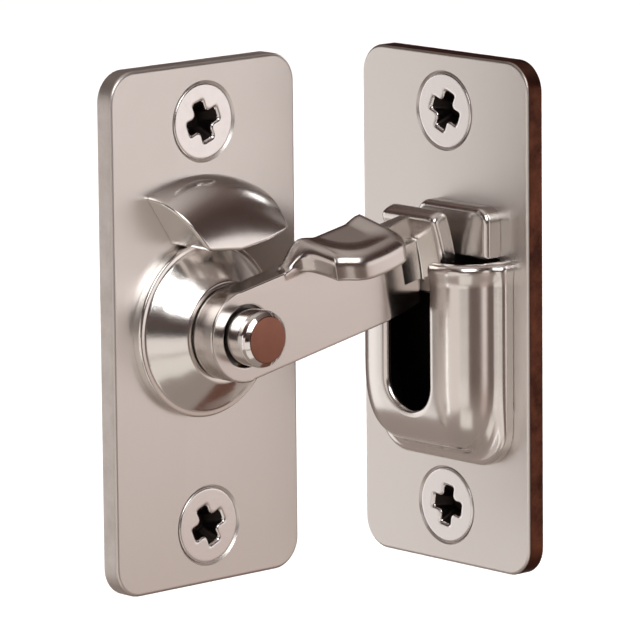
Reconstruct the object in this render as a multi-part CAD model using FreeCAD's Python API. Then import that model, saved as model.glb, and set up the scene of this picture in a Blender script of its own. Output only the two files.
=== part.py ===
import FreeCAD, Part
import math, os
from FreeCAD import Vector as V

# Flip-bar door latch in two halves.
# Frame: origin on the centre of the bar plate's back (mounting) face.
# +X runs from the bar plate towards the keeper, -Y is the way the bar plate
# faces, +Z is up. Millimetres.

# ---------------------------------------------------------------- dimensions
PLATE_W = 30.0          # both plates: width
PLATE_H = 65.0          # both plates: height
PLATE_T = 2.4           # both plates: thickness
PLATE_R = 3.8           # corner radius in plan
PLATE_EDGE = 0.45       # rounding of the front rim
SCREW_Z = 25.2          # screw holes above and below the plate centre
CSK_R = 5.08            # countersink mouth radius
HOLE_R = 2.75           # clearance hole radius
HEAD_R = 4.78           # screw head radius
SHANK_R = 2.2           # plain shank radius
SCREW_L = 16.0          # screw length over all

AX, AZ = -0.9, -0.25    # pivot axis position (axis runs along Y)
TILT = 11.0             # bar's angle above horizontal at rest
OPEN_LIM, SHUT_LIM = 17.0, -14.0   # travel from rest

BOSS_R = 11.0          # boss ring radius on the plate
BOSS_RING = 1.35        # height of the boss's cylindrical ring
BOSS_TOP_R = 6.3        # cone radius under the bar
BOSS_H = 4.85           # boss height above the plate
PIN_R = 3.55            # pivot pin radius
PIN_TAIL_R = 2.5        # pin tail through the plate
BAR_BACK, BAR_FRONT = -7.5, -11.0  # y of the bar's faces
BAR_HALF = 5.7          # half the bar's width
HUB_R = 5.8             # rounded end of the bar about the pivot
BUSH_T = 0.75           # wall of the pivot bush
CBORE_R, CBORE_D = 4.45, 1.5       # counterbore in the bar around the pin
PIN_END = -14.7         # y of the pin's flat end
PIN_CH = 0.65           # chamfer on the pin's end

HEAD_R1, HEAD_R2 = 30.45, 33.1      # catch head faces, radii from the pivot
HEAD_UP, HEAD_DN = 11.2, 8.5       # catch head's angular reach above / below the bar line, deg
HEAD_Y0, HEAD_Y1 = -4.3, -14.0     # catch head's ends across the bar
NECK_U = 28.6           # where the bar ends and the head's tenon shows

KX = 34.6               # keeper plate front face
KY0 = 6.4               # keeper plate rear edge
KZ = -1.7               # keeper plate centre height
CUP_P = 7.4             # cup projection from the keeper plate
CUP_W = 1.5             # cup wall
CUP_HALF = 10.2         # cup half width
CUP_TOP = 5.75          # cup rim height
CUP_BOT = -19.4         # cup bottom
CUP_YC = -9.3           # cup and slot mid plane
SLOT_HALF = 3.75        # slot half width
SLOT_BOT = -13.2        # lowest point of the slot

os.makedirs("parts", exist_ok=True)

def save(shape, name):
    if len(shape.Solids) == 1:
        shape = shape.Solids[0]
    shape.exportStep("parts/%s.step" % name)
    print("%-20s solids %d  volume %.2f" % (name, len(shape.Solids), shape.Volume))
    return shape

def cyl(r, y0, y1, x=0.0, z=0.0):
    """Cylinder along Y from y0 to y1."""
    a, b = min(y0, y1), max(y0, y1)
    return Part.makeCylinder(r, b - a, V(x, a, z), V(0, 1, 0))

def cone(r0, y0, r1, y1, x=0.0, z=0.0):
    """Cone along Y, radius r0 at y0 and r1 at y1."""
    if y0 > y1:
        r0, y0, r1, y1 = r1, y1, r0, y0
    return Part.makeCone(r0, r1, y1 - y0, V(x, y0, z), V(0, 1, 0))

def revolve_y(pts, x=0.0, z=0.0):
    """Solid of revolution about the line (x, z) along Y from (radius, y) points."""
    w = Part.makePolygon([V(x + r, y, z) for r, y in pts] + [V(x + pts[0][0], pts[0][1], z)])
    return Part.Face(w).revolve(V(x, 0, z), V(0, 1, 0), 360)

def extrude_xz(pts, y0, y1):
    """Prism along Y over a closed (x, z) outline."""
    w = Part.makePolygon([V(a, y0, b) for a, b in pts] + [V(pts[0][0], y0, pts[0][1])])
    return Part.Face(w).extrude(V(0, y1 - y0, 0))

def round_plate():
    """Plate on the XZ plane, back at y=0, front at y=-PLATE_T, without its holes."""
    b = Part.makeBox(PLATE_W, PLATE_T, PLATE_H, V(-PLATE_W / 2, -PLATE_T, -PLATE_H / 2))
    corner = [e for e in b.Edges if abs(e.BoundBox.YLength - PLATE_T) < 1e-6
              and e.BoundBox.XLength < 1e-6 and e.BoundBox.ZLength < 1e-6]
    b = b.makeFillet(PLATE_R, corner)
    rim = [e for e in b.Edges if e.BoundBox.YLength < 1e-6 and abs(e.BoundBox.YMax + PLATE_T) < 1e-6]
    b = b.makeFillet(PLATE_EDGE, rim)
    for s in (1, -1):
        b = b.cut(cone(CSK_R, -PLATE_T, HOLE_R, -PLATE_T + CSK_R - HOLE_R, 0, s * SCREW_Z))
        b = b.cut(cyl(HOLE_R, -PLATE_T, 1, 0, s * SCREW_Z))
        b = b.cut(cyl(CSK_R, -PLATE_T, -PLATE_T - 1, 0, s * SCREW_Z))
    return b

def cross_recess(r_out, wing, depth):
    """Tapered cross recess opening towards -Y at y=0, arms along X and Z."""
    arm = None
    for a in (0, 90):
        top = [(-r_out, -wing), (r_out, -wing), (r_out, wing), (-r_out, wing)]
        w1 = Part.makePolygon([V(p, 0, q) for p, q in top] + [V(top[0][0], 0, top[0][1])])
        k, kw = 0.42, 0.7
        bot = [(-r_out * k, -wing * kw), (r_out * k, -wing * kw), (r_out * k, wing * kw), (-r_out * k, wing * kw)]
        w2 = Part.makePolygon([V(p, depth, q) for p, q in bot] + [V(bot[0][0], depth, bot[0][1])])
        s = Part.makeLoft([w1, w2], True, True)
        s.rotate(V(0, 0, 0), V(0, 1, 0), a)
        arm = s if arm is None else arm.fuse(s)
    # rounded core where the arms meet
    arm = arm.fuse(cone(wing * 1.75, 0, wing * 0.9, depth))
    return arm

def wood_screw(turn):
    """Countersunk cross-recess screw along +Y, head's flat at y=0, tip at y=SCREW_L."""
    head_d = HEAD_R - SHANK_R
    pts = [(0, 0), (HEAD_R - 0.25, 0), (HEAD_R, 0.18), (HEAD_R - 0.05, 0.32), (SHANK_R, 0.32 + head_d - 0.05),
           (SHANK_R, 5.6), (1.62, 6.1)]
    y, n = 6.1, 0
    while y + 1.35 < SCREW_L - 2.2:
        pts += [(1.62, y + 0.45), (2.32, y + 0.85), (2.32, y + 0.97), (1.62, y + 1.35)]
        y += 1.35
    pts += [(1.55, SCREW_L - 2.1), (0.15, SCREW_L), (0, SCREW_L)]
    s = revolve_y(pts)
    rec = cross_recess(2.75, 0.62, 2.3)
    rec.translate(V(0, -0.001, 0))
    s = s.cut(rec)
    s.rotate(V(0, 0, 0), V(0, 1, 0), turn)
    return s

def to_keeper(s):
    """Carry a shape from the plate's own place to the keeper's: -Y turns to -X."""
    s = s.copy()
    s.rotate(V(0, 0, 0), V(0, 0, 1), -90)       # -Y becomes -X
    s.translate(V(KX + PLATE_T, KY0 - PLATE_W / 2, KZ))
    return s

def tilt(s):
    """Carry a shape from the bar's own frame (x along the bar) to its rest place."""
    s = s.copy()
    s.rotate(V(0, 0, 0), V(0, -1, 0), TILT)
    s.translate(V(AX, 0, AZ))
    return s

# ------------------------------------------------------------ bar plate side
plate = round_plate()
plate = plate.cut(cyl(PIN_TAIL_R, -PLATE_T - 1, 1, AX, AZ))
plate = plate.cut(cone(PIN_TAIL_R, -1.0, PIN_TAIL_R + 1.0, 0.0, AX, AZ))
PEGS = [(-3.9, 13.6), (3.3, 13.6)]
for px, pz in PEGS:
    plate = plate.cut(cyl(1.25, -PLATE_T - 1, 1, px, pz))
    plate = plate.cut(cone(1.25, -0.7, 1.85, 0.0, px, pz))
save(plate, "bar_plate")

# conical boss: ring, shoulder, cone and flat top, with a recess for the washers
f = -PLATE_T
boss = revolve_y([(PIN_R + 0.05, f), (BOSS_R, f), (BOSS_R, f - BOSS_RING + 0.3), (BOSS_R - 0.3, f - BOSS_RING),
                  (BOSS_R - 0.75, f - BOSS_RING), (BOSS_R - 0.95, f - BOSS_RING - 0.18),
                  (8.6, f - 3.0), (BOSS_TOP_R + 0.25, f - BOSS_H + 0.15), (BOSS_TOP_R, f - BOSS_H),
                  (5.2, f - BOSS_H), (5.2, f - BOSS_H + 1.1), (PIN_R + 0.05, f - BOSS_H + 1.1)], AX, AZ)
save(boss, "pivot_boss")

# fan-shaped stop above the boss, with two pegs peened over behind the plate
arc_c = V(-0.5, 0, -0.5)
R_OUT = 19.3
def arc_pt(deg, r=R_OUT):
    return (arc_c.x + r * math.cos(math.radians(deg)), arc_c.z + r * math.sin(math.radians(deg)))
STOP_Y = -9.3
def drop(x):
    """How far the top has come down at the front, more towards +x."""
    t = min(max((x + 9.5) / 18.5, 0.0), 1.0)
    return 0.6 + 3.0 * t * t
low_pts = [(8.45, 11.6), (4.4, 10.6), (0.0, 10.0), (-5.3, 10.5)]
n_arc = 18
back_arc = [arc_pt(116.0 - (116.0 - 61.5) * i / n_arc) for i in range(n_arc + 1)]
def ring_at(y, top):
    p = top + low_pts
    return Part.makePolygon([V(a, y, b) for a, b in p] + [V(p[0][0], y, p[0][1])])
mid_arc = [(x, z - 0.8 * drop(x)) for x, z in back_arc]
front_arc = [(x * 0.985, z - drop(x) - 0.75) for x, z in back_arc]
stop = Part.makeLoft([ring_at(f, back_arc), ring_at(STOP_Y + 0.9, mid_arc)], True, True)
stop = stop.fuse(Part.makeLoft([ring_at(STOP_Y + 0.9, mid_arc), ring_at(STOP_Y, front_arc)], True, True))
stop = stop.cut(revolve_y([(0, 1), (BOSS_R, 1), (BOSS_R, f - BOSS_RING + 0.3), (BOSS_R - 0.3, f - BOSS_RING),
                           (BOSS_R - 0.75, f - BOSS_RING), (BOSS_R - 0.95, f - BOSS_RING - 0.18),
                           (8.6, f - 3.0), (BOSS_TOP_R + 0.25, f - BOSS_H + 0.15), (BOSS_TOP_R, f - BOSS_H), (0, f - BOSS_H)], AX, AZ))
for px, pz in PEGS:
    stop = stop.fuse(cyl(1.25, f - 1.0, -0.7, px, pz)).fuse(cone(1.25, -0.7, 1.85, 0.0, px, pz))
stop = stop.removeSplitter()
save(stop, "stop_block")

# pivot pin: visible end, shank with a ring groove, thinner tail peened into the plate
GROOVE_Y0, GROOVE_Y1 = BAR_FRONT + CBORE_D - 0.05, BAR_FRONT + CBORE_D - 0.85
pin = revolve_y([(0, PIN_END), (PIN_R - PIN_CH, PIN_END), (PIN_R - 0.12, PIN_END + PIN_CH - 0.1), (PIN_R, PIN_END + PIN_CH + 0.15),
                 (PIN_R, GROOVE_Y1), (PIN_R - 0.5, GROOVE_Y1), (PIN_R - 0.5, GROOVE_Y0), (PIN_R, GROOVE_Y0),
                 (PIN_R, f), (PIN_TAIL_R, f), (PIN_TAIL_R, -1.0), (PIN_TAIL_R + 1.0, 0), (0, 0)], AX, AZ)
save(pin, "pivot_pin")

# open retaining ring in the pin's groove, at the bottom of the bar's counterbore
ring = cyl(CBORE_R - 0.25, GROOVE_Y0 - 0.02, GROOVE_Y1 + 0.02, AX, AZ).cut(cyl(PIN_R - 0.48, -30, 0, AX, AZ))
gap = Part.makeBox(2.2, 3, 6, V(AX - 1.1, GROOVE_Y1 - 1, AZ - 6))
save(ring.cut(gap), "retaining_ring")

# washers in the boss's recess: a plain thrust washer under the bar, a crimped friction washer behind it
rb = f - BOSS_H + 1.1      # floor of the recess
thrust = cyl(5.1, BAR_BACK + 0.02, BAR_BACK + 0.42, AX, AZ).cut(cyl(PIN_R + 0.05, -30, 0, AX, AZ))
save(thrust, "thrust_washer")
def wave_washer():
    n, amp, th = 72, 0.16, 0.3
    ymid = (rb + BAR_BACK + 0.42) / 2.0
    r0, r1 = PIN_R + 0.1, 5.0
    # crimped ring as a stack of short sectors joined edge to edge
    lo, hi = [], []
    faces = []
    P = {}
    for i in range(n):
        a = 2 * math.pi * i / n
        y = amp * math.cos(3 * a)
        for j, r in enumerate((r0, r1)):
            for k, dy in enumerate((-th / 2, th / 2)):
                P[i, j, k] = V(AX + r * math.cos(a), ymid + y + dy, AZ + r * math.sin(a))
    def tri(a, b, c):
        return Part.Face(Part.makePolygon([a, b, c, a]))
    for i in range(n):
        m = (i + 1) % n
        for q in (((i, 0, 0), (i, 1, 0), (m, 1, 0), (m, 0, 0)), ((i, 0, 1), (m, 0, 1), (m, 1, 1), (i, 1, 1)),
                  ((i, 0, 0), (m, 0, 0), (m, 0, 1), (i, 0, 1)), ((i, 1, 0), (i, 1, 1), (m, 1, 1), (m, 1, 0))):
            a, b, c, d = [P[t] for t in q]
            faces += [tri(a, b, c), tri(a, c, d)]
    sh = Part.makeShell(faces)
    s = Part.makeSolid(sh)
    return s if s.Volume > 0 else s.reversed()
save(wave_washer(), "wave_washer")

# ------------------------------------------------------------------- the bar
def bar_shape():
    """Bar in its own frame: pivot at x=z=0, x along the bar, z up across it."""
    yb, yf, h = BAR_BACK, BAR_FRONT, BAR_HALF
    body = extrude_xz([(0, -h), (NECK_U, -h), (NECK_U, h), (0, h)], yb, yf)
    hub = cyl(HUB_R, yb, yf)
    body = body.fuse(hub)
    # the far end is thinner: the front drops back past the bend line
    cut = Part.Face(Part.makePolygon([V(23.0, yf, 0), V(25.3, yf + 0.55, 0), V(NECK_U + 1, yf + 0.75, 0),
                                      V(NECK_U + 1, yf - 1, 0), V(23.0, yf - 1, 0), V(23.0, yf, 0)])).extrude(V(0, 0, 20))
    cut.translate(V(0, 0, -10))
    body = body.cut(cut)
    back = Part.makeBox(8, 2, 20, V(24.5, yb - 0.5, -10))
    body = body.cut(back)
    # thumb tab: a thick ledge standing out from the upper edge, leaning down to the front
    tb = STOP_Y - 0.15                    # the tab passes in front of the stop
    plan = [(11.5, tb), (22.6, tb), (23.3, yf - 1.2), (24.1, yf - 3.0), (24.2, yf - 4.4), (23.4, yf - 5.3), (21.6, yf - 5.75),
            (18.4, yf - 6.2), (15.8, yf - 6.2), (14.4, yf - 5.8), (13.7, yf - 5.0), (12.7, yf - 3.2), (11.5, yf - 1.05), (10.7, yf - 0.1)]
    w = Part.makePolygon([V(a, b, -12) for a, b in plan] + [V(plan[0][0], plan[0][1], -12)])
    tab = Part.Face(w).extrude(V(0, 0, 30))
    top, bot, slope = 9.8, 6.25, 20.1     # heights at the bar's back face
    side = [(yb + 2, top + 2 * math.tan(math.radians(slope))), (yf - 8, top - (yb - yf + 8) * math.tan(math.radians(slope))),
            (yf - 8, bot - (yb - yf + 8) * math.tan(math.radians(slope))), (yb + 2, bot + 2 * math.tan(math.radians(slope)))]
    pr = Part.Face(Part.makePolygon([V(-5, a, b) for a, b in side] + [V(-5, side[0][0], side[0][1])])).extrude(V(50, 0, 0))
    tab = tab.common(pr)
    # flank rising from the bar to the tab's left side
    fl = extrude_xz([(8.0, h - 0.6), (9.4, h + 0.1), (10.6, 6.9), (11.8, 8.6), (13.5, 8.6), (13.5, 4.0), (11, 4.0)], tb, yf)
    web = Part.makeLoft([
        Part.makePolygon([V(8.6, yf + 0.4, h - 0.5), V(8.6, yf, h - 0.5), V(8.6, yf, h - 0.02), V(8.6, yf + 0.4, h - 0.02), V(8.6, yf + 0.4, h - 0.5)]),
        Part.makePolygon([V(13.4, yf + 0.4, 3.6), V(13.4, yf - 3.6, 3.5), V(13.4, yf - 3.6, 6.6), V(13.4, yf + 0.4, 7.8), V(13.4, yf + 0.4, 3.6)])], True, True)
    body = body.fuse(tab).fuse(fl).fuse(web)
    # bore for the bush and the counterbore around the pin
    body = body.cut(cyl(PIN_R + 0.05 + BUSH_T, yb + 1, yf + CBORE_D))
    body = body.cut(cyl(CBORE_R, yf + CBORE_D, yf - 20))
    # tenon slot in the end for the catch head
    body = body.cut(Part.makeBox(4, 2.0, 5.0, V(NECK_U - 3.0, BAR_BACK - 2.55, -2.5)))
    return body.removeSplitter()
bar = bar_shape()
save(tilt(bar), "latch_bar")

bush = cyl(PIN_R + 0.05 + BUSH_T, BAR_BACK, BAR_FRONT + CBORE_D).cut(cyl(PIN_R + 0.05, -30, 5))
save(tilt(bush), "pivot_bush")

def head_shape():
    """Catch head: a curved cross plate about the pivot, with a tenon into the bar."""
    ring = cyl(HEAD_R2, HEAD_Y1, HEAD_Y0).cut(cyl(HEAD_R1, -30, 5))
    d = 60.0
    def ray(a):
        return V(d * math.cos(math.radians(a)), 0, d * math.sin(math.radians(a)))
    w = Part.makePolygon([V(0, 0, 0), ray(-HEAD_DN), V(d * 1.2, 0, 0), ray(HEAD_UP), V(0, 0, 0)])
    sect = Part.Face(w).extrude(V(0, -40, 0))
    sect.translate(V(0, 5, 0))
    h = ring.common(sect)
    top = [e for e in h.Edges if e.BoundBox.ZMin > 4.0]
    try:
        h2 = h.makeFillet(0.55, top)
        if h2.isValid():
            h = h2
    except Exception:
        print("head edges left sharp")
    ten = Part.makeBox(HEAD_R1 + 1.0 - (NECK_U - 3.0), 2.0, 5.0, V(NECK_U - 3.0, BAR_BACK - 2.55, -2.5))
    return h.fuse(ten).removeSplitter()
save(tilt(head_shape()), "catch_head")

# --------------------------------------------------------------- keeper side
kplate = to_keeper(round_plate())
KPEGS = [(CUP_YC, -18.2), (CUP_YC - 9.4, 1.0), (CUP_YC + 9.4, 1.0)]
def cylx(r, x0, x1, y, z):
    return Part.makeCylinder(r, x1 - x0, V(x0, y, z), V(1, 0, 0))
def conex(r0, x0, r1, x1, y, z):
    return Part.makeCone(r0, r1, x1 - x0, V(x0, y, z), V(1, 0, 0))
for y, z in KPEGS:
    kplate = kplate.cut(cylx(1.0, KX - 1, KX + 5, y, z)).cut(conex(1.0, KX + PLATE_T - 0.7, 1.6, KX + PLATE_T, y, z))
BY0, BY1, BZ0, BZ1, BT = -18.7, -5.9, 6.0, 12.4, 2.5
BPEGS = [(-15.6, 9.2), (-9.0, 9.2)]
for y, z in BPEGS:
    kplate = kplate.cut(cylx(1.0, KX - 1, KX + 5, y, z)).cut(conex(1.0, KX + PLATE_T - 0.7, 1.6, KX + PLATE_T, y, z))
save(kplate, "keeper_plate")

def pouch(off):
    """Cup's outer form pulled in by off: rounded box whose lower front curves back to the plate."""
    x0, x1 = KX - CUP_P + off, KX
    y0, y1 = CUP_YC - CUP_HALF + off, CUP_YC + CUP_HALF - off
    zb = CUP_BOT + off
    rx, rz = CUP_P - 0.7 - off, 12.5 - off
    pts = [V(x1, 0, CUP_TOP + 5), V(x0, 0, CUP_TOP + 5), V(x0, 0, zb + rz)]
    e = [Part.makeLine(pts[0], pts[1]), Part.makeLine(pts[1], pts[2])]
    bow = [V(x0 + rx - rx * math.cos(math.radians(t)), 0, zb + rz - rz * math.sin(math.radians(t))) for t in range(0, 91, 9)]
    c = Part.BSplineCurve()
    c.interpolate(bow, InitialTangent=V(0, 0, -1), FinalTangent=V(1, 0, 0))
    e.append(c.toShape())
    e.append(Part.makeLine(bow[-1], V(x1, 0, zb)))
    e.append(Part.makeLine(V(x1, 0, zb), pts[0]))
    w = Part.Wire(e)
    s = Part.Face(w).extrude(V(0, y1 - y0, 0))
    s.translate(V(0, y0, 0))
    # corners in plan
    rc = 3.0 - off * 0.8
    pl = Part.makeBox(CUP_P * 2, y1 - y0, 60, V(x0, y0, -40))
    ed = [q for q in pl.Edges if q.BoundBox.ZLength > 50 and q.BoundBox.XMin < x0 + 1e-6]
    pl = pl.makeFillet(rc, ed)
    # corners seen from the front
    fr = Part.makeBox(30, y1 - y0, 60, V(x0 - 5, y0, zb))
    ed = [q for q in fr.Edges if q.BoundBox.XLength > 25 and q.BoundBox.ZMax < zb + 1e-6]
    fr = fr.makeFillet(9.0 - off, ed)
    return s.common(pl).common(fr)
cup = pouch(0.0)
cup = cup.cut(Part.makeBox(40, 60, 20, V(KX - 30, -40, CUP_TOP)))
inner = pouch(CUP_W)
cup = cup.cut(inner)
slot = Part.makeBox(8, 2 * SLOT_HALF, 40, V(KX - CUP_P - 4, CUP_YC - SLOT_HALF, SLOT_BOT + SLOT_HALF))
slot = slot.fuse(cylx(SLOT_HALF, KX - CUP_P - 4, KX - CUP_P + 4, CUP_YC, SLOT_BOT + SLOT_HALF))
cup = cup.cut(slot)
# bevel on the outer rim
rim = [e for e in cup.Edges if e.BoundBox.ZLength < 1e-6 and abs(e.BoundBox.ZMax - CUP_TOP) < 1e-6]
outer = []
for e in rim:
    m = e.valueAt((e.FirstParameter + e.LastParameter) / 2)
    if m.x < KX - CUP_P + 1e-3 or m.y < CUP_YC - CUP_HALF + 0.9 or m.y > CUP_YC + CUP_HALF - 0.9:
        if m.x < KX - 0.5:
            outer.append(e)
try:
    c2 = cup.makeChamfer(0.45, outer)
    if c2.isValid() and len(c2.Solids) == 1:
        cup = c2
        print("cup rim bevelled")
except Exception:
    print("cup rim left square")
for y, z in KPEGS:
    zz = z
    cup = cup.fuse(cylx(1.0, KX - 0.6, KX + PLATE_T - 0.7, y, zz)).fuse(conex(1.0, KX + PLATE_T - 0.7, 1.6, KX + PLATE_T, y, zz))
cup = cup.removeSplitter()
save(cup, "keeper_cup")

blk = Part.makeBox(BT, BY1 - BY0, BZ1 - BZ0, V(KX - BT, BY0, BZ0))
ed = [e for e in blk.Edges if e.BoundBox.XLength > 2 and e.BoundBox.ZMin > BZ1 - 1e-6]
blk = blk.makeFillet(1.5, ed)
ed = [e for e in blk.Edges if e.BoundBox.XLength < 1e-6 and e.BoundBox.XMax < KX - BT + 1e-6 and e.BoundBox.ZMax > BZ0 + 0.1]
try:
    b2 = blk.makeFillet(0.5, ed)
    if b2.isValid():
        blk = b2
except Exception:
    print("backing block edges left sharp")
# clears the cup's side wall
blk = blk.cut(Part.makeBox(10, 3, 20, V(KX - 9, CUP_YC - CUP_HALF - 0.5, -14.2))).cut(Part.makeBox(1, 1, 1, V(100, 0, 0)))
for y, z in BPEGS:
    blk = blk.fuse(cylx(1.0, KX - 1.0, KX + PLATE_T - 0.7, y, z)).fuse(conex(1.0, KX + PLATE_T - 0.7, 1.6, KX + PLATE_T, y, z))
save(blk.removeSplitter(), "backing_block")

# -------------------------------------------------------------------- screws
for name, z, turn in (("bar_screw_top", SCREW_Z, 17), ("bar_screw_bottom", -SCREW_Z, 20)):
    s = wood_screw(turn)
    s.translate(V(0, -PLATE_T + 0.02, z))
    save(s, name)
for name, z, turn in (("keeper_screw_top", SCREW_Z, -20), ("keeper_screw_bottom", -SCREW_Z, 8)):
    s = wood_screw(turn)
    s.translate(V(0, -PLATE_T + 0.02, z))
    save(to_keeper(s), name)
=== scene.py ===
import bpy, math
import numpy as np
from mathutils import Vector, Matrix


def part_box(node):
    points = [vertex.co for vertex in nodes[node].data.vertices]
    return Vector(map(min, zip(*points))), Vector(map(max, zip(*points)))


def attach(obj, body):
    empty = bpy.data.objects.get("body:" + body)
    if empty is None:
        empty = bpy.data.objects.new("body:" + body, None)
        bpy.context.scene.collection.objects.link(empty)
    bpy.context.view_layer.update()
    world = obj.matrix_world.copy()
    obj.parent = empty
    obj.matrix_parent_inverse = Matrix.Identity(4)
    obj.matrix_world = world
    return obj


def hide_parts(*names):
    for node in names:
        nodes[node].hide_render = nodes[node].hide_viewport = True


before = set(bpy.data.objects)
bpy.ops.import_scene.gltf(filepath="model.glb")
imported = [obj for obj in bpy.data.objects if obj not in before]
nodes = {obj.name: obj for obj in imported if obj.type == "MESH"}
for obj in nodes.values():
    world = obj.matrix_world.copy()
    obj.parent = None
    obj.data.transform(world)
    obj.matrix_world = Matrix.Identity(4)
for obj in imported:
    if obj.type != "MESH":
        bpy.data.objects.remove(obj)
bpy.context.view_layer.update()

MM = 0.001

# ------------------------------------------------------------- key positions
def lohi(n):
    lo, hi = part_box(n)
    return np.array(lo) / MM, np.array(hi) / MM

pin_lo, pin_hi = lohi("pivot_pin")
AX, AZ = (pin_lo[0] + pin_hi[0]) / 2, (pin_lo[2] + pin_hi[2]) / 2
PIN_END = pin_lo[1]
pl_lo, pl_hi = lohi("bar_plate")
F = pl_lo[1]                                   # front of the bar plate
kp_lo, kp_hi = lohi("keeper_plate")
KX = kp_lo[0]
cup_lo, cup_hi = lohi("keeper_cup")
CUP_YC = (cup_lo[1] + cup_hi[1]) / 2
CUP_P = KX - cup_lo[0]
CUP_HALF = (cup_hi[1] - cup_lo[1]) / 2
CUP_TOP, CUP_BOT = cup_hi[2], cup_lo[2]
bk_lo, bk_hi = lohi("backing_block")
st_lo, st_hi = lohi("stop_block")
STOP_Y = st_lo[1]
bs_lo, bs_hi = lohi("pivot_bush")
BAR_BACK = bs_hi[1]
BAR_FRONT = bs_lo[1] - 1.5
TILT = math.radians(11.0)

# ------------------------------------------------- distance-field mesh builder
def smin(a, b, k):
    h = np.maximum(k - np.abs(a - b), 0.0) / k
    return np.minimum(a, b) - h * h * k * 0.25

def smax(a, b, k):
    return -smin(-a, -b, k)

def step(x, a, b):
    t = np.clip((x - a) / (b - a), 0, 1)
    return t * t * (3 - 2 * t)

def poly2(px, py, pts):
    """Signed distance to a closed polygon in 2D, negative inside."""
    pts = np.array(pts, float)
    d = np.full(px.shape, 1e9)
    s = np.ones(px.shape)
    n = len(pts)
    for i in range(n):
        a, b = pts[i], pts[i - 1]
        ex, ey = b[0] - a[0], b[1] - a[1]
        wx, wy = px - a[0], py - a[1]
        t = np.clip((wx * ex + wy * ey) / (ex * ex + ey * ey), 0, 1)
        bx, by = wx - ex * t, wy - ey * t
        d = np.minimum(d, bx * bx + by * by)
        c1, c2, c3 = py >= a[1], py < b[1], ex * wy > ey * wx
        flip = (c1 & c2 & c3) | (~c1 & ~c2 & ~c3)
        s = np.where(flip, -s, s)
    return s * np.sqrt(d)

def nets(f, lo, hi, h):
    """Surface of f=0 as quads: one vertex per crossed cell, pulled onto the surface."""
    lo, hi = np.array(lo, float), np.array(hi, float)
    n = np.ceil((hi - lo) / h).astype(int) + 1
    ax = [lo[i] + h * np.arange(n[i]) for i in range(3)]
    X, Y, Z = np.meshgrid(*ax, indexing="ij")
    D = f(X, Y, Z)
    S = D < 0
    cs = [n[0] - 1, n[1] - 1, n[2] - 1]
    acc = np.zeros(cs + [3]); cnt = np.zeros(cs)
    # crossings on every edge of each cell
    for axis in range(3):
        sl0 = [slice(None)] * 3; sl1 = [slice(None)] * 3
        sl0[axis] = slice(0, -1); sl1[axis] = slice(1, None)
        d0, d1 = D[tuple(sl0)], D[tuple(sl1)]
        cr = (d0 < 0) != (d1 < 0)
        t = np.where(cr, d0 / np.where(cr, d0 - d1, 1.0), 0.0)
        o = [a for a in range(3) if a != axis]
        for i in (0, 1):
            for j in (0, 1):
                s = [slice(None)] * 3
                s[o[0]] = slice(i, i + cs[o[0]]); s[o[1]] = slice(j, j + cs[o[1]])
                c = cr[tuple(s)]; tt = t[tuple(s)]
                cnt += c
                acc[..., axis] += np.where(c, tt, 0)
                acc[..., o[0]] += np.where(c, i, 0)
                acc[..., o[1]] += np.where(c, j, 0)
    on = cnt > 0
    idx = -np.ones(cs, int)
    idx[on] = np.arange(on.sum())
    cell = np.argwhere(on)
    P = lo + (cell + acc[on] / cnt[on][:, None]) * h
    def grad(P):
        e = h * 0.25
        g = np.empty_like(P)
        for a in range(3):
            q = P.copy(); q[:, a] += e; r = P.copy(); r[:, a] -= e
            g[:, a] = (f(q[:, 0], q[:, 1], q[:, 2]) - f(r[:, 0], r[:, 1], r[:, 2])) / (2 * e)
        return g
    for _ in range(4):
        g = grad(P)
        d = f(P[:, 0], P[:, 1], P[:, 2])
        mv = -(d / np.maximum((g * g).sum(1), 0.15))[:, None] * g
        L = np.linalg.norm(mv, axis=1)
        mv *= np.minimum(1, 0.45 * h / np.maximum(L, 1e-9))[:, None]
        P = P + mv * 0.9
    quads = []
    for axis in range(3):
        o = [a for a in range(3) if a != axis]
        sl0 = [slice(1, -1)] * 3; sl1 = [slice(1, -1)] * 3
        sl0[axis] = slice(0, -1); sl1[axis] = slice(1, None)
        s0, s1 = S[tuple(sl0)], S[tuple(sl1)]
        e = np.argwhere(s0 != s1)
        flip = s0[tuple(e.T)]
        base = e.copy()
        c = []
        for i, j in ((-1, -1), (0, -1), (0, 0), (-1, 0)):
            q = base.copy()
            q[:, o[0]] += 1 + i; q[:, o[1]] += 1 + j
            c.append(idx[tuple(q.T)])
        q = np.stack(c, 1)
        if axis == 1:
            flip = ~flip
        q = np.where(flip[:, None], q, q[:, ::-1])
        quads.append(q)
    Q = np.concatenate(quads)
    Q = Q[(Q >= 0).all(1)]
    return P, Q, grad(P)

def mesh_object(name, P, Q, N=None, mat=None):
    me = bpy.data.meshes.new(name)
    me.vertices.add(len(P)); me.vertices.foreach_set("co", (P * MM).astype(np.float32).ravel())
    me.loops.add(Q.size); me.loops.foreach_set("vertex_index", Q.astype(np.int32).ravel())
    me.polygons.add(len(Q))
    me.polygons.foreach_set("loop_start", np.arange(0, Q.size, Q.shape[1], dtype=np.int32))
    me.update(calc_edges=True)
    me.validate()
    me.polygons.foreach_set("use_smooth", np.ones(len(me.polygons), bool))
    if N is not None:
        L = np.linalg.norm(N, axis=1)[:, None]
        me.normals_split_custom_set_from_vertices((N / np.maximum(L, 1e-9)).tolist())
    ob = bpy.data.objects.new(name, me)
    bpy.context.collection.objects.link(ob)
    if mat:
        me.materials.append(mat)
    return ob

def sdf_piece(name, f, lo, hi, h, mat, xf=None):
    P, Q, N = nets(f, lo, hi, h)
    if xf is not None:
        P, N = xf(P, N)
    return mesh_object(name, P, Q, N, mat)

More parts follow.
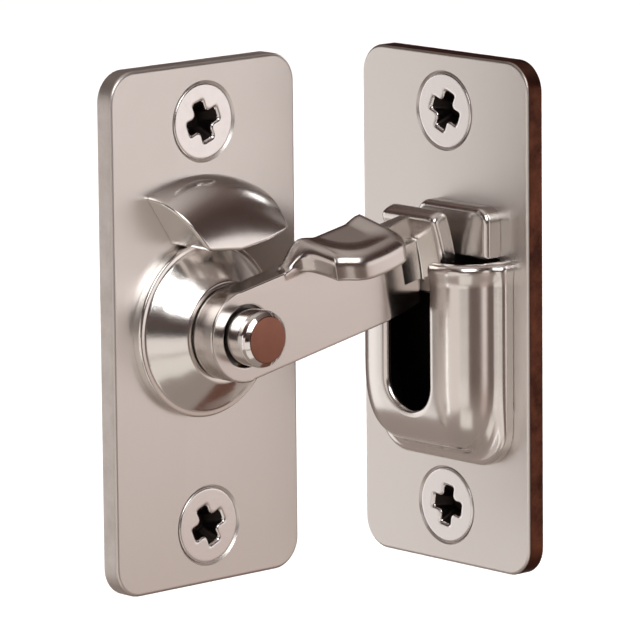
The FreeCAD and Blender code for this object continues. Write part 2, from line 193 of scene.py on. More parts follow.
def bar_xf(P, N):
    c, s = math.cos(TILT), math.sin(TILT)
    def r(v):
        o = v.copy()
        o[:, 0] = v[:, 0] * c - v[:, 2] * s
        o[:, 2] = v[:, 0] * s + v[:, 2] * c
        return o
    P = r(P); P[:, 0] += AX; P[:, 2] += AZ
    return P, r(N)

def lathe(name, prof, mat, x=AX, z=AZ, n=160):
    """Closed revolution about the line (x, z) along Y; prof is (radius, y) from axis to axis."""
    P, Q = [], []
    rings = []
    for r, y in prof:
        if r < 1e-6:
            rings.append([len(P)]); P.append((x, y, z))
        else:
            k = len(P); rings.append(list(range(k, k + n)))
            for i in range(n):
                a = 2 * math.pi * i / n
                P.append((x + r * math.cos(a), y, z + r * math.sin(a)))
    faces = []
    for a, b in zip(rings[:-1], rings[1:]):
        for i in range(n):
            j = (i + 1) % n
            if len(a) == 1 and len(b) == 1:
                continue
            if len(a) == 1:
                faces.append((a[0], b[j], b[i]))
            elif len(b) == 1:
                faces.append((a[i], a[j], b[0]))
            else:
                faces.append((a[i], a[j], b[j], b[i]))
    if len(rings[0]) > 1 and len(rings[-1]) > 1:      # hollow piece: close the loop
        a, b = rings[-1], rings[0]
        for i in range(n):
            j = (i + 1) % n
            faces.append((a[i], a[j], b[j], b[i]))
    me = bpy.data.meshes.new(name)
    me.from_pydata([tuple(np.array(p) * MM) for p in P], [], faces)
    me.validate(); me.update()
    import bmesh
    bm = bmesh.new(); bm.from_mesh(me); bmesh.ops.recalc_face_normals(bm, faces=bm.faces[:]); bm.to_mesh(me); bm.free()
    me.polygons.foreach_set("use_smooth", np.ones(len(me.polygons), bool))
    ob = bpy.data.objects.new(name, me)
    bpy.context.collection.objects.link(ob)
    me.materials.append(mat)
    return ob

def rounded(prof, r, seg=5):
    """Rounds each inner corner of an open (radius, y) profile."""
    out = [prof[0]]
    for i in range(1, len(prof) - 1):
        p, c, q = [np.array(v[:2], float) for v in (prof[i - 1], prof[i], prof[i + 1])]
        rr = prof[i][2] if len(prof[i]) > 2 else r
        a, b = p - c, q - c
        la, lb = np.linalg.norm(a), np.linalg.norm(b)
        t = min(rr, la * 0.45, lb * 0.45)
        a, b = c + a / la * t, c + b / lb * t
        for k in range(seg + 1):
            s = k / seg
            v = (1 - s) ** 2 * a + 2 * s * (1 - s) * c + s * s * b
            out.append((v[0], v[1]))
    out.append(prof[-1][:2])
    return [(max(v[0], 0.0), v[1]) for v in out]

# ----------------------------------------------------------------- materials
def nd(t, kind, **kw):
    n = t.nodes.new(kind)
    for k, v in kw.items():
        setattr(n, k, v)
    return n

def metal(name, col, rough, grain=(1, 1, 1), grain_scale=600.0, grain_amt=0.05, bump=0.02, blotch=0.04, edge_highlight=0.0,
          rough_var=0.06, edge=(0.9, 0.88, 0.86), fine=2500.0, zone=None, rim=None):
    """Nickel-like metal: directional grain, fine sparkle, blotches of roughness and a painted highlight (lighter
    colour) on convex edges.
    """
    m = bpy.data.materials.new(name)
    m.use_nodes = True
    t = m.node_tree
    b = t.nodes["Principled BSDF"]
    b.inputs["Metallic"].default_value = 1.0
    L = t.links.new
    tc = nd(t, "ShaderNodeTexCoord")
    mp = nd(t, "ShaderNodeMapping"); mp.inputs["Scale"].default_value = grain
    L(tc.outputs["Object"], mp.inputs["Vector"])
    g = nd(t, "ShaderNodeTexNoise"); g.inputs["Scale"].default_value = grain_scale; g.inputs["Detail"].default_value = 4.0
    g.inputs["Roughness"].default_value = 0.65
    L(mp.outputs["Vector"], g.inputs["Vector"])
    fi = nd(t, "ShaderNodeTexNoise"); fi.inputs["Scale"].default_value = fine; fi.inputs["Detail"].default_value = 3.0
    L(tc.outputs["Object"], fi.inputs["Vector"])
    bl = nd(t, "ShaderNodeTexNoise"); bl.inputs["Scale"].default_value = 70.0; bl.inputs["Detail"].default_value = 5.0
    L(tc.outputs["Object"], bl.inputs["Vector"])
    # colour
    mix = nd(t, "ShaderNodeMix", data_type="RGBA")
    mix.inputs["A"].default_value = (*[c * (1 - blotch) for c in col], 1)
    mix.inputs["B"].default_value = (*[min(1, c * (1 + blotch)) for c in col], 1)
    L(bl.outputs["Fac"], mix.inputs["Factor"])
    base = mix.outputs["Result"]
    # painted highlight: convex edges (pointiness) take the lighter edge colour
    if edge_highlight > 0:
        geo = nd(t, "ShaderNodeNewGeometry")
        ramp = nd(t, "ShaderNodeMapRange"); ramp.inputs["From Min"].default_value = 0.52; ramp.inputs["From Max"].default_value = 0.62
        L(geo.outputs["Pointiness"], ramp.inputs["Value"])
        mul = nd(t, "ShaderNodeMath", operation="MULTIPLY"); mul.inputs[1].default_value = edge_highlight
        L(ramp.outputs["Result"], mul.inputs[0])
        m2 = nd(t, "ShaderNodeMix", data_type="RGBA"); m2.inputs["B"].default_value = (*edge, 1)
        L(mul.outputs["Value"], m2.inputs["Factor"]); L(base, m2.inputs["A"])
        base = m2.outputs["Result"]
    if zone:                      # a part of the piece past one plane, in its own colour; on the pin this is its end face, painted brown as a painted reflection
        sp = nd(t, "ShaderNodeSeparateXYZ"); L(tc.outputs["Object"], sp.inputs["Vector"])
        zr = nd(t, "ShaderNodeMapRange"); zr.inputs["From Min"].default_value = zone[1] * MM; zr.inputs["From Max"].default_value = zone[2] * MM
        L(sp.outputs[zone[0]], zr.inputs["Value"])
        zn = nd(t, "ShaderNodeTexNoise"); zn.inputs["Scale"].default_value = 300.0; zn.inputs["Detail"].default_value = 5.0
        L(tc.outputs["Object"], zn.inputs["Vector"])
        zc = nd(t, "ShaderNodeMix", data_type="RGBA")
        zc.inputs["A"].default_value = (*[c * 0.75 for c in zone[3]], 1); zc.inputs["B"].default_value = (*[min(1, c * 1.25) for c in zone[3]], 1)
        L(zn.outputs["Fac"], zc.inputs["Factor"])
        m3 = nd(t, "ShaderNodeMix", data_type="RGBA")
        L(zr.outputs["Result"], m3.inputs["Factor"]); L(base, m3.inputs["A"]); L(zc.outputs["Result"], m3.inputs["B"])
        base = m3.outputs["Result"]
    rf = None
    if rim:                       # edge band of a plate, apart from its two broad faces, in its own colour and roughness: (axis, colour, roughness)
        sn = nd(t, "ShaderNodeSeparateXYZ"); L(tc.outputs["Normal"], sn.inputs["Vector"])
        ab = nd(t, "ShaderNodeMath", operation="ABSOLUTE"); L(sn.outputs[rim[0]], ab.inputs[0])
        rm = nd(t, "ShaderNodeMapRange"); rm.inputs["From Min"].default_value = 0.75; rm.inputs["From Max"].default_value = 0.35
        L(ab.outputs["Value"], rm.inputs["Value"]); rf = rm.outputs["Result"]
        rn = nd(t, "ShaderNodeTexNoise"); rn.inputs["Scale"].default_value = 260.0; rn.inputs["Detail"].default_value = 8.0; rn.inputs["Roughness"].default_value = 0.7
        L(tc.outputs["Object"], rn.inputs["Vector"])
        rr = nd(t, "ShaderNodeMapRange"); rr.inputs["From Min"].default_value = 0.36; rr.inputs["From Max"].default_value = 0.64
        L(rn.outputs["Fac"], rr.inputs["Value"])
        rc = nd(t, "ShaderNodeMix", data_type="RGBA")
        rc.inputs["A"].default_value = (*rim[1], 1); rc.inputs["B"].default_value = (*rim[2], 1)
        L(rr.outputs["Result"], rc.inputs["Factor"])
        m4 = nd(t, "ShaderNodeMix", data_type="RGBA")
        L(rf, m4.inputs["Factor"]); L(base, m4.inputs["A"]); L(rc.outputs["Result"], m4.inputs["B"])
        base = m4.outputs["Result"]
    L(base, b.inputs["Base Color"])
    # roughness
    r1 = nd(t, "ShaderNodeMapRange"); r1.inputs["To Min"].default_value = max(0.02, rough - rough_var); r1.inputs["To Max"].default_value = rough + rough_var
    add = nd(t, "ShaderNodeMath", operation="ADD")
    L(g.outputs["Fac"], add.inputs[0]); L(bl.outputs["Fac"], add.inputs[1])
    half = nd(t, "ShaderNodeMath", operation="MULTIPLY"); half.inputs[1].default_value = 0.5
    L(add.outputs["Value"], half.inputs[0])
    r1.inputs["From Min"].default_value = 0.3; r1.inputs["From Max"].default_value = 0.7
    L(half.outputs["Value"], r1.inputs["Value"]); rough_out = r1.outputs["Result"]
    if rf is not None:
        rx = nd(t, "ShaderNodeMix"); rx.data_type = "FLOAT"; rx.inputs["B"].default_value = rim[3]
        L(rf, rx.inputs["Factor"]); L(rough_out, rx.inputs["A"]); rough_out = rx.outputs["Result"]
    L(rough_out, b.inputs["Roughness"])
    # bump
    s = nd(t, "ShaderNodeMath", operation="MULTIPLY_ADD"); s.inputs[1].default_value = grain_amt
    L(g.outputs["Fac"], s.inputs[0])
    f2 = nd(t, "ShaderNodeMath", operation="MULTIPLY"); f2.inputs[1].default_value = 0.35 * grain_amt
    L(fi.outputs["Fac"], f2.inputs[0]); L(f2.outputs["Value"], s.inputs[2])
    bp = nd(t, "ShaderNodeBump"); bp.inputs["Strength"].default_value = 1.0; bp.inputs["Distance"].default_value = bump * MM
    L(s.outputs["Value"], bp.inputs["Height"]); L(bp.outputs["Normal"], b.inputs["Normal"])
    return m

NICKEL = (0.80, 0.765, 0.74)
M_plate = metal("satin_plate", NICKEL, 0.36, grain=(1, 1, 0.35), grain_scale=1500, grain_amt=0.10, bump=0.010, blotch=0.010, edge_highlight=0.3, rough_var=0.02,
                rim=("Y", (0.60, 0.56, 0.53), (0.70, 0.66, 0.63), 0.5))
# keeper plate: its edge band is painted dark brown, a painted reflection
M_kplate = metal("satin_keeper_plate", NICKEL, 0.36, grain=(1, 1, 0.35), grain_scale=1500, grain_amt=0.10, bump=0.010, blotch=0.010, edge_highlight=0.0, rough_var=0.02,
                 rim=("X", (0.055, 0.020, 0.014), (0.17, 0.060, 0.034), 0.42))
M_cast = metal("polished_casting", (0.83, 0.80, 0.775), 0.21, grain=(1, 1, 1), grain_scale=260, grain_amt=0.3, bump=0.02, blotch=0.02, edge_highlight=0.35, rough_var=0.035)
M_bar = metal("satin_bar", (0.65, 0.605, 0.58), 0.2, grain=(0.1, 1, 1), grain_scale=700, grain_amt=0.25, bump=0.02, blotch=0.02, edge_highlight=0.3, rough_var=0.04)
M_boss = metal("turned_boss", (0.86, 0.835, 0.81), 0.19, grain=(1, 1, 1), grain_scale=420, grain_amt=0.45, bump=0.03, blotch=0.02, edge_highlight=0.3, rough_var=0.03)
M_screw = metal("plated_screw", (0.86, 0.83, 0.825), 0.24, grain_scale=800, grain_amt=0.25, bump=0.03, blotch=0.03, edge_highlight=0.5, rough_var=0.06)
# pin: its end face is painted brown, a painted reflection of the dark brown surroundings
M_pin = metal("turned_pin", (0.86, 0.84, 0.82), 0.12, grain_scale=500, grain_amt=0.2, bump=0.02, edge_highlight=0.3, rough_var=0.03,
              zone=("Y", PIN_END + 0.07, PIN_END + 0.02, (0.235, 0.105, 0.075)))
# near-black, rougher material: painted shade for the cup's inside, the pocket's back and the screws' cross recesses
M_painted_shade = metal("painted_shade_inside", (0.035, 0.028, 0.026), 0.55, grain_scale=400, grain_amt=0.6, bump=0.06, blotch=0.25, rough_var=0.1)
M_spring = metal("spring_steel", (0.16, 0.155, 0.16), 0.35, grain_scale=600, grain_amt=0.3, bump=0.04, blotch=0.1)
M_brass = metal("bush_brass", (0.72, 0.52, 0.26), 0.28, grain_scale=500, grain_amt=0.3, bump=0.03, blotch=0.06)

# ------------------------------------------------------------------ the pieces
def replaces(ob, node, body):
    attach(ob, body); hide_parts(node)
    return ob

# boss: ring, hollow shoulder, cone, flat top with the washers' recess
bore = 3.6
prof = [(bore, F - 0.001), (11.0, F, 0.05), (11.0, F - 1.3, 0.45), (10.3, F - 1.38, 0.25), (10.05, F - 1.52, 0.25), (8.55, F - 3.0, 0.8),
        (6.62, F - 4.6, 0.3), (6.3, F - 4.85, 0.2), (5.2, F - 4.85, 0.1), (5.2, F - 3.75, 0.1), (bore, F - 3.75)]
boss = lathe("boss", rounded(prof, 0.2), M_boss, n=220)
replaces(boss, "pivot_boss", "base")

# pin
tail = [(0, PIN_END), (2.84, PIN_END, 0.08), (3.4, PIN_END + 0.42, 0.1), (3.55, PIN_END + 0.8, 0.14), (3.55, -10.35, 0.05), (3.05, -10.35, 0.05),
        (3.05, -9.6, 0.05), (3.55, -9.6, 0.05), (3.55, F, 0.05), (2.5, F, 0.05), (2.5, -1.0, 0.1), (3.5, 0, 0.05), (0, 0)]
pin = lathe("pin", rounded(tail, 0.1), M_pin, n=160)
replaces(pin, "pivot_pin", "base")

# stop block: fan with a falling top and rounded front
def f_stop(x, y, z):
    t = np.clip((x + 9.5) / 18.5, 0, 1)
    dep = np.clip((F - y) / (F - STOP_Y), 0, 1.6)
    arc = np.sqrt(np.maximum(19.3 ** 2 - (x + 0.9) ** 2, 1.0)) - 0.62
    top = arc - (0.35 + 0.9 * t * t) * dep * (1 - 0.2 * dep)
    zb = 7.4
    p = 2.35
    u, v = np.maximum(dep, 1e-3), np.maximum((z - zb) / (top - zb), 1e-3)
    g = (u ** p + v ** p) ** (1 / p)
    gy, gz = (u / g) ** (p - 1) / (F - STOP_Y), (v / g) ** (p - 1) / (top - zb)
    d = (g - 1) / np.sqrt(gy * gy + gz * gz)
    nl = np.array([-0.83, -0.558])
    d_left = (x + 9.35) * nl[0] + (z - 16.6) * nl[1]
    low = np.interp(x, [-12, -5.3, 0, 4.4, 8.45, 12], [12.0, 10.5, 10.0, 10.6, 11.6, 12.5])
    d = smax(d, d_left, 0.45)
    d = smax(d, x - 8.6, 0.9)
    d = smax(d, (low - z) * 0.95, 0.5)
    d = np.maximum(d, y - F)
    # hollow that clears the boss
    r = np.hypot(x - AX, z - AZ)
    rb = np.interp(F - y, [0, 1.3, 1.45, 1.55, 3.0, 4.6, 4.85, 4.86, 9], [11.0, 11.0, 10.4, 10.05, 8.55, 6.62, 6.3, 0, 0])
    return smax(d, (rb + 0.03 - r) * 0.8, 0.25)
stop = sdf_piece("stop", f_stop, (-10.5, STOP_Y - 0.6, 8.6), (9.8, F + 0.6, 20.0), 0.17, M_cast)
replaces(stop, "stop_block", "base")

# bar with its thumb tab
TB = STOP_Y - 0.15
def f_bar(x, y, z):
    yb, yf = BAR_BACK, BAR_FRONT
    r = np.hypot(x, z)
    hub = r - 5.8
    d = np.where(x < 0, hub, smax(np.abs(z) - 5.7, r - 30.5, 0.3))
    front = yf + 0.235 * 0.5 * (np.sqrt((x - 23.2) ** 2 + 0.09) + (x - 23.2))
    back = np.interp(x, [-50, 24.3, 24.9, 40], [yb, yb, yb - 0.5, yb - 0.5])
    d = smax(d, front - y, 0.26)
    d = smax(d, y - back, 0.3)
    # thumb tab in plan: three sides and, at its left, a hollow neck running out of the bar's face
    dl = (x - 10.75) * -0.969 + (y + 10.5) * -0.248
    df = np.hypot(x - 17.5, y - 7.6) - 25.0
    dr = (x - 23.2) * 0.989 + (y + 16.0) * 0.149
    tabp = smax(smax(dl, df, 3.8), dr, 1.8)
    neck = np.maximum(np.maximum(7.6 - x, x - 13.2), np.maximum(-15.3 - y, 4.3 - np.hypot(x - 7.75, y + 15.3)))
    plan = np.maximum(smin(tabp, neck, 1.2), y - TB)
    # leaning slab, dished on top, falling to the bar along the neck
    sl = math.tan(math.radians(20.1))
    hb = 9.8 - (yb - y) * sl
    fall = 3.15 * (1 - step(x, 6.8, 11.6))
    dish = 0.5 * step(-tabp, 1.0, 3.4)
    kk = 1.45 - 1.0 * (1 - step(x, 8.2, 13.0))
    slab = smax(plan, (z - (hb - fall - dish)) * 0.93, kk)
    slab = smax(slab, ((hb - 3.35) - z) * 0.93, 0.55)
    d = smin(d, slab, 0.5)
    # keep the rear clear of the stop
    d = np.where(z > 5.75, np.maximum(d, y - TB), d)
    # lip around the pin, counterbore behind it and bush bore
    hole = np.where(y < yf + 0.52, 3.86, np.where(y < yf + 1.5, 4.47, 4.36))
    return smax(d, hole - r, 0.16)
bar = sdf_piece("bar", f_bar, (-6.3, -18.0, -6.2), (31.0, -7.1, 10.3), 0.16, M_bar, bar_xf)
replaces(bar, "latch_bar", "bar")

# catch head: curved cross plate with a bevelled top, and its tenon
hd_lo, hd_hi = lohi("catch_head")
def f_head(x, y, z):
    r = np.hypot(x, z)
    a = np.degrees(np.arctan2(z, x))
    d_ring = np.maximum(30.45 - r, r - 33.1)
    d_up, d_dn = (a - 11.2) * 31.5 * math.pi / 180, (-8.5 - a) * 31.5 * math.pi / 180
    y0, y1 = hd_lo[1], hd_hi[1]
    d_y = np.maximum(y - y1, y0 - y)
    d = smax(d_ring, d_y, 0.7)
    d = smax(d, d_up, 1.1)
    d = smax(d, d_dn, 0.6)
    yc = BAR_BACK - 1.55
    ten = np.maximum(np.maximum(np.abs(y - yc) - 1.0, np.abs(z) - 2.5), np.maximum(25.6 - x, x - 31.4))
    return smin(d, ten, 0.4)
head = sdf_piece("cross_head", f_head, (25.0, hd_lo[1] - 0.5, -5.8), (33.8, hd_hi[1] + 0.5, 7.4), 0.15, M_cast, bar_xf)
replaces(head, "catch_head", "bar")

# keeper cup: pouch with a U slot
CHW, CZB, EY, EZ = CUP_HALF - 0.5, CUP_BOT + 0.9, 6.0, 11.0
def f_pouch(x, y, z):
    """Solid pouch: full depth in the middle, rounding away to the sides and more slowly to the bottom."""
    a = np.clip(1 - (CHW - np.abs(y - CUP_YC)) / EY, 1e-4, None)
    b = np.clip(1 - (z - CZB) / EZ, 1e-4, None)
    T = np.clip((KX - x) / CUP_P, 1e-4, None)
    q, p = 2.7, 2.9
    Q = (a ** q + b ** q) ** (1 / q)
    G = (Q ** p + T ** p) ** (1 / p)
    gq, gt = (Q / G) ** (p - 1), (T / G) ** (p - 1) / CUP_P
    gy, gz = gq * (a / Q) ** (q - 1) / EY, gq * (b / Q) ** (q - 1) / EZ
    return (G - 1) / np.sqrt(gy * gy + gz * gz + gt * gt + 1e-9)
def f_cup(x, y, z):
    p = f_pouch(x, y, z)
    d = p - 0.4 * step(z, CUP_TOP - 3.0, CUP_TOP - 0.7)          # mouth rolled a little outward
    r = 5.0                                                      # flange against the plate
    qy, qz = np.abs(y - CUP_YC + 0.1) - (CUP_HALF + 0.45 - r), (CUP_BOT - 0.75 + r) - z
    fl = np.hypot(np.maximum(qy, 0), np.maximum(qz, 0)) + np.minimum(np.maximum(qy, qz), 0) - r
    fl = smax(fl, (KX - 1.75) - x, 0.9)
    d = smin(d, fl, 1.9)
    d = smax(d, -(p + 1.35), 0.3)
    d = smax(d, z - CUP_TOP, 1.15)
    qy, qz = np.abs(y - CUP_YC), (CUP_BOT + 6.2 + 3.75) - z      # slot
    sl = np.hypot(qy, np.maximum(qz, 0)) - 3.75
    sl = np.maximum(sl, x - (KX - CUP_P + 4.0))
    d = smax(d, -sl, 1.0)
    return np.maximum(d, x - KX)
cup = sdf_piece("cup", f_cup, (KX - CUP_P - 0.9, CUP_YC - CUP_HALF - 1.1, CUP_BOT - 1.2), (KX + 0.4, CUP_YC + CUP_HALF + 1.0, CUP_TOP + 0.6), 0.16, M_cast)
cup.data.materials.append(M_painted_shade)
cen = np.empty(len(cup.data.polygons) * 3); cup.data.polygons.foreach_get("center", cen)
cen = cen.reshape(-1, 3) / MM
# inner faces of the pouch take the painted shade material
inn = f_pouch(cen[:, 0], cen[:, 1], cen[:, 2]) < -0.95
cup.data.polygons.foreach_set("material_index", inn.astype(np.int32))
replaces(cup, "keeper_cup", "base")
# closed back of the cup's pocket on the plate, painted near-black: painted shade inside the pocket
def f_back(x, y, z):
    d = smax(f_pouch(KX - 0.6 + 0 * x, y, z) + 1.25, z - (CUP_TOP + 0.2), 0.2)
    return np.maximum(np.maximum(d, KX - 0.16 - x), x - KX - 0.001)
bk = sdf_piece("pocket_back", f_back, (KX - 0.5, CUP_YC - CUP_HALF, CUP_BOT), (KX + 0.3, CUP_YC + CUP_HALF, CUP_TOP + 1.0), 0.16, M_painted_shade)
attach(bk, "base")

# block above the cup's mouth
def f_block(x, y, z):
    yy0, yy1 = bk_lo[1], bk_hi[1]
    yc, hy = (yy0 + yy1) / 2, (yy1 - yy0) / 2
    x0 = bk_lo[0]
    r = 1.9
    qy, qz = np.abs(y - yc) - (hy - r), (z - (bk_hi[2] - r))
    d = np.hypot(np.maximum(qy, 0), np.maximum(qz, 0)) + np.minimum(np.maximum(qy, qz), 0) - r
    d = smax(d, x0 - x, 0.9)
    d = smax(d, bk_lo[2] - z, 0.3)
    return np.maximum(d, x - KX)
blk = sdf_piece("mouth_block", f_block, (bk_lo[0] - 0.5, bk_lo[1] - 0.5, bk_lo[2] - 0.5), (KX + 0.4, bk_hi[1] + 0.5, bk_hi[2] + 0.5), 0.15, M_cast)
replaces(blk, "backing_block", "base")

# screws: domed rim, cross recess with rounded arms, real helical thread
def f_screw(x, y, z):
    r = np.hypot(x, z)
    head = smax(smax(r - 4.78, (0.02 - y) + 0.012 * r * r * 0.0, 0.35), (r + y - 5.06) * 0.7071, 0.15)
    a = np.arctan2(z, x)
    ph = (y / 1.75 + a / (2 * math.pi)) % 1.0
    ridge = np.clip(1 - np.abs(ph - 0.5) / 0.2, 0, 1)
    grow = step(y, 5.2, 6.2)
    taper = np.clip((16.0 - y) / 4.2, 0, 1) ** 0.8
    body = np.where(y < 5.6, 2.2, 2.2 - 0.58 * grow)
    rad = (body + 0.7 * ridge * grow) * taper
    shank = np.maximum((r - rad) * 0.62, y - 15.95)
    shank = np.maximum(shank, 0.5 - y)
    d = smin(head, shank, 0.35)
    arms = None
    for c, s in ((1, 0), (0, 1)):
        u, v = np.abs(x * c + z * s), np.abs(-x * s + z * c)
        dep = np.clip(y / 2.3, 0, 1)
        w = 0.78 - 0.25 * dep + 0.16 * np.clip(u / 2.6, 0, 1)
        ln = 2.65 * (1 - 0.62 * dep)
        q = smax(u - ln, v - w, 0.5)
        arms = q if arms is None else smin(arms, q, 0.9)
    arms = np.maximum(arms, y - 2.5)
    return smax(d, -arms, 0.28)
PS, QS, NS = nets(f_screw, (-5.4, -0.4, -5.4), (5.4, 16.4, 5.4), 0.16)
cS = PS[QS].mean(1)
# faces inside the cross recess take the painted shade material
REC = ((cS[:, 1] > 0.3) & (cS[:, 1] < 2.6) & (np.hypot(cS[:, 0], cS[:, 2]) < np.minimum(2.9, 4.6 - cS[:, 1]))).astype(np.int32)
def put_screw(name, node, turn):
    lo, hi = lohi(node)
    c, s = math.cos(turn), math.sin(turn)
    def rot(v):
        o = v.copy(); o[:, 0] = v[:, 0] * c - v[:, 2] * s; o[:, 2] = v[:, 0] * s + v[:, 2] * c
        return o
    P, N = rot(PS), rot(NS)
    if "keeper" in node:       # -Y turns to -X
        def k(v):
            o = v.copy(); o[:, 0] = v[:, 1]; o[:, 1] = -v[:, 0]
            return o
        P, N = k(P), k(N)
        P = P + np.array([lo[0], (lo[1] + hi[1]) / 2, (lo[2] + hi[2]) / 2])
    else:
        P = P + np.array([(lo[0] + hi[0]) / 2, lo[1], (lo[2] + hi[2]) / 2])
    ob = mesh_object(name, P, QS, N, M_screw)
    ob.data.materials.append(M_painted_shade)
    ob.data.polygons.foreach_set("material_index", REC)
    replaces(ob, node, "base")
put_screw("screw_bt", "bar_screw_top", math.radians(20))
put_screw("screw_bb", "bar_screw_bottom", math.radians(24))
put_screw("screw_kt", "keeper_screw_top", math.radians(-22))
put_screw("screw_kb", "keeper_screw_bottom", math.radians(-8))

# CAD nodes that stay
for n, m in (("bar_plate", M_plate), ("keeper_plate", M_kplate), ("retaining_ring", M_spring), ("thrust_washer", M_screw), ("wave_washer", M_spring), ("pivot_bush", M_brass)):
    o = nodes[n]
    o.data.materials.clear()
    o.data.materials.append(m)

# --------------------------------------------------------------- stage, light
def emit(name, col, strength):
    m = bpy.data.materials.new(name); m.use_nodes = True
    t = m.node_tree; t.nodes.clear()
    o = t.nodes.new("ShaderNodeOutputMaterial"); e = t.nodes.new("ShaderNodeEmission")
    e.inputs["Color"].default_value = (*col, 1); e.inputs["Strength"].default_value = strength
    t.links.new(e.outputs["Emission"], o.inputs["Surface"])
    return m

def card(name, direction, dist, w, h, mat, target=(0.01, -0.006, 0.0)):
    """Studio card facing the object, seen only in reflections."""
    d = Vector(direction).normalized()
    me = bpy.data.meshes.new(name)
    me.from_pydata([(-w / 2, -h / 2, 0), (w / 2, -h / 2, 0), (w / 2, h / 2, 0), (-w / 2, h / 2, 0)], [], [(0, 1, 2, 3)])
    me.materials.append(mat)
    ob = bpy.data.objects.new(name, me)
    bpy.context.collection.objects.link(ob)
    ob.location = Vector(target) + d * dist
    ob.rotation_mode = "QUATERNION"
    ob.rotation_quaternion = d.to_track_quat("Z", "Y")
    ob.visible_camera = False
    ob.visible_shadow = False
    return ob

floor_m = bpy.data.materials.new("pale_floor"); floor_m.use_nodes = True
ft = floor_m.node_tree; fb = ft.nodes["Principled BSDF"]
fn = ft.nodes.new("ShaderNodeTexNoise"); fn.inputs["Scale"].default_value = 3.0
fm = ft.nodes.new("ShaderNodeMix"); fm.data_type = "RGBA"
fm.inputs["A"].default_value = (0.93, 0.925, 0.92, 1); fm.inputs["B"].default_value = (0.95, 0.945, 0.94, 1)
ft.links.new(fn.outputs["Fac"], fm.inputs["Factor"]); ft.links.new(fm.outputs["Result"], fb.inputs["Base Color"])
fb.inputs["Roughness"].default_value = 0.9
me = bpy.data.meshes.new("floor")
me.from_pydata([(-6, -6, 0), (6, -6, 0), (6, 6, 0), (-6, 6, 0)], [], [(0, 1, 2, 3)])
me.materials.append(floor_m)
floor = bpy.data.objects.new("floor", me); bpy.context.collection.objects.link(floor)
floor.location = (0, 0, -0.30)
floor.visible_glossy = False

w = bpy.data.worlds.new("studio"); bpy.context.scene.world = w; w.use_nodes = True
wt = w.node_tree; bg = wt.nodes["Background"]
tc = wt.nodes.new("ShaderNodeTexCoord"); sx = wt.nodes.new("ShaderNodeSeparateXYZ")
wt.links.new(tc.outputs["Generated"], sx.inputs["Vector"])
rp = wt.nodes.new("ShaderNodeValToRGB")
e0 = rp.color_ramp.elements
e0[0].position = 0.0; e0[0].color = (0.30, 0.25, 0.22, 1)
e0[1].position = 1.0; e0[1].color = (0.55, 0.50, 0.47, 1)
for p, c in ((0.22, (0.34, 0.28, 0.25, 1)), (0.34, (0.20, 0.15, 0.13, 1)), (0.47, (0.10, 0.066, 0.056, 1)), (0.56, (0.060, 0.036, 0.030, 1)),
             (0.76, (0.060, 0.036, 0.031, 1)), (0.86, (0.14, 0.095, 0.085, 1))):
    e = e0.new(p); e.color = c
hz = wt.nodes.new("ShaderNodeMapRange")                      # height of the direction, -1..1, onto the ramp
hz.inputs["From Min"].default_value = -1.0; hz.inputs["From Max"].default_value = 1.0
wt.links.new(sx.outputs["Z"], hz.inputs["Value"]); wt.links.new(hz.outputs["Result"], rp.inputs["Fac"])
wt.links.new(rp.outputs["Color"], bg.inputs["Color"])
bg.inputs["Strength"].default_value = 1.0

def glow(name, c0, c1, axis, s0=0.0, s1=1.0):
    """Card whose glow goes from c0 to c1 along its own X or Y."""
    m = emit(name, (1, 1, 1), 1.0)
    t = m.node_tree
    g = t.nodes.new("ShaderNodeTexCoord"); sp = t.nodes.new("ShaderNodeSeparateXYZ"); r = t.nodes.new("ShaderNodeMapRange")
    r.inputs["From Min"].default_value = s0; r.inputs["From Max"].default_value = s1
    mx = t.nodes.new("ShaderNodeMix"); mx.data_type = "RGBA"
    mx.inputs["A"].default_value = (*c0, 1); mx.inputs["B"].default_value = (*c1, 1)
    t.links.new(g.outputs["Object"], sp.inputs["Vector"]); t.links.new(sp.outputs[axis], r.inputs["Value"])
    t.links.new(r.outputs["Result"], mx.inputs["Factor"])
    em = [n for n in t.nodes if n.type == "EMISSION"][0]
    t.links.new(mx.outputs["Result"], em.inputs["Color"])
    return m

# the two cards that the plates mirror: one front right, one back left
card("card_front", (0.664, -0.727, -0.19), 0.40, 0.40, 0.30, glow("front_glow", (0.52, 0.42, 0.37), (1.08, 1.00, 0.97), "Y", -0.055, 0.045), target=(0.0, -0.002, 0.0))
card("card_back", (-0.664, 0.727, -0.20), 0.40, 0.46, 0.28, glow("back_glow", (1.0, 0.95, 0.92), (0.62, 0.57, 0.54), "X", -0.05, 0.05), target=(0.0346, -0.0086, -0.0017))
card("back_right", (-0.36, 0.92, -0.12), 0.45, 0.22, 0.34, emit("back_right_glow", (1.0, 0.97, 0.95), 1.5))
card("soft_key", (-0.30, -0.72, 0.56), 0.6, 0.40, 0.36, emit("key_glow", (1.0, 0.985, 0.97), 3.2))
card("soft_right", (0.919, 0.03, 0.394), 0.6, 0.12, 0.26, emit("right_glow", (1.0, 0.98, 0.96), 2.6))
card("soft_left", (-0.94, 0.31, -0.15), 0.6, 0.10, 0.5, emit("left_glow", (1.0, 0.98, 0.96), 2.0))
card("wall_left", (-0.97, -0.16, -0.22), 0.64, 0.50, 0.46, emit("wall_glow", (1.0, 0.90, 0.84), 0.78))
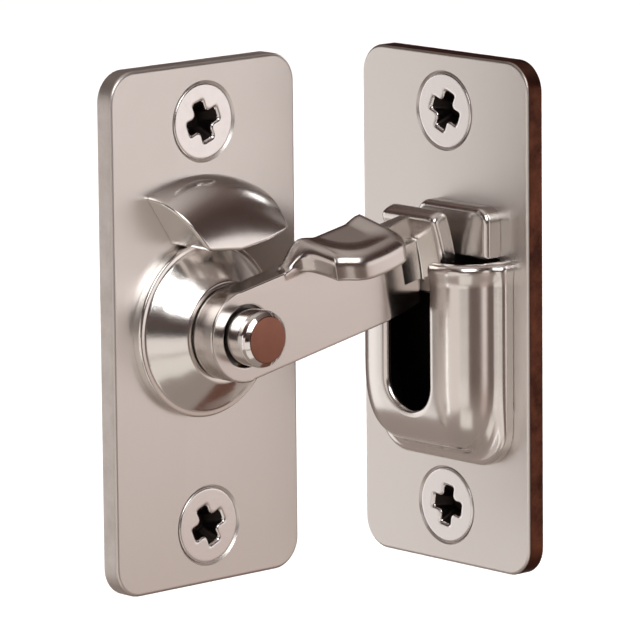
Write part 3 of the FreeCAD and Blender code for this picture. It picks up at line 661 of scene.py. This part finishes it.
card("front_left_low", (-0.66, -0.69, -0.31), 0.62, 0.42, 0.22, emit("front_low_glow", (1.0, 0.92, 0.86), 0.85))
card("low_front", (-0.42, -0.60, -0.68), 0.6, 0.42, 0.26, emit("low_glow", (1.0, 0.93, 0.85), 0.80))
card("brown_low", (0.62, 0.05, -0.78), 0.6, 0.40, 0.30, emit("brown_glow", (0.13, 0.062, 0.045), 1.0))
card("dark_flag", (-0.65, -0.735, -0.045), 0.5, 0.20, 0.075, emit("flag", (0.03, 0.025, 0.024), 0.5))

def area(name, loc, size, power, col=(1, 1, 1)):
    l = bpy.data.lights.new(name, "AREA"); l.size = size; l.energy = power; l.color = col
    o = bpy.data.objects.new(name, l); bpy.context.collection.objects.link(o)
    o.location = loc
    o.rotation_mode = "QUATERNION"
    o.rotation_quaternion = (Vector((0.01, 0, 0)) - Vector(loc)).to_track_quat("-Z", "Y")
    o.visible_camera = False
    o.visible_glossy = False
    return o
area("ceiling", (1.1, 1.2, 2.3), 3.6, 125)
area("front_fill", (-0.8, -1.6, 1.0), 1.2, 12)

# -------------------------------------------------------------------- camera
az, el, roll = math.radians(-42.397), math.radians(10.226), math.radians(-0.552)
D, tx, ty, fpx = 780.0, -3.197, -0.891, 6292.5
back = Vector((math.sin(az) * math.cos(el), -math.cos(az) * math.cos(el), math.sin(el)))
right = Vector((math.cos(az), math.sin(az), 0.0))
up = back.cross(right)
r2 = right * math.cos(roll) + up * math.sin(roll)
u2 = -right * math.sin(roll) + up * math.cos(roll)
tgt = Vector((17.5, -8.7, 0.0))
pos = (tgt + back * D + r2 * tx + u2 * ty) * MM
cam = bpy.data.cameras.new("camera")
cam.sensor_width = 36.0
cam.lens = fpx / 640.0 * 36.0
cam.clip_start, cam.clip_end = 0.05, 30.0
co = bpy.data.objects.new("camera", cam); bpy.context.collection.objects.link(co)
co.matrix_world = Matrix(((r2.x, u2.x, back.x, pos.x), (r2.y, u2.y, back.y, pos.y), (r2.z, u2.z, back.z, pos.z), (0, 0, 0, 1)))
bpy.context.scene.camera = co
bpy.context.scene.view_settings.view_transform = "Standard"
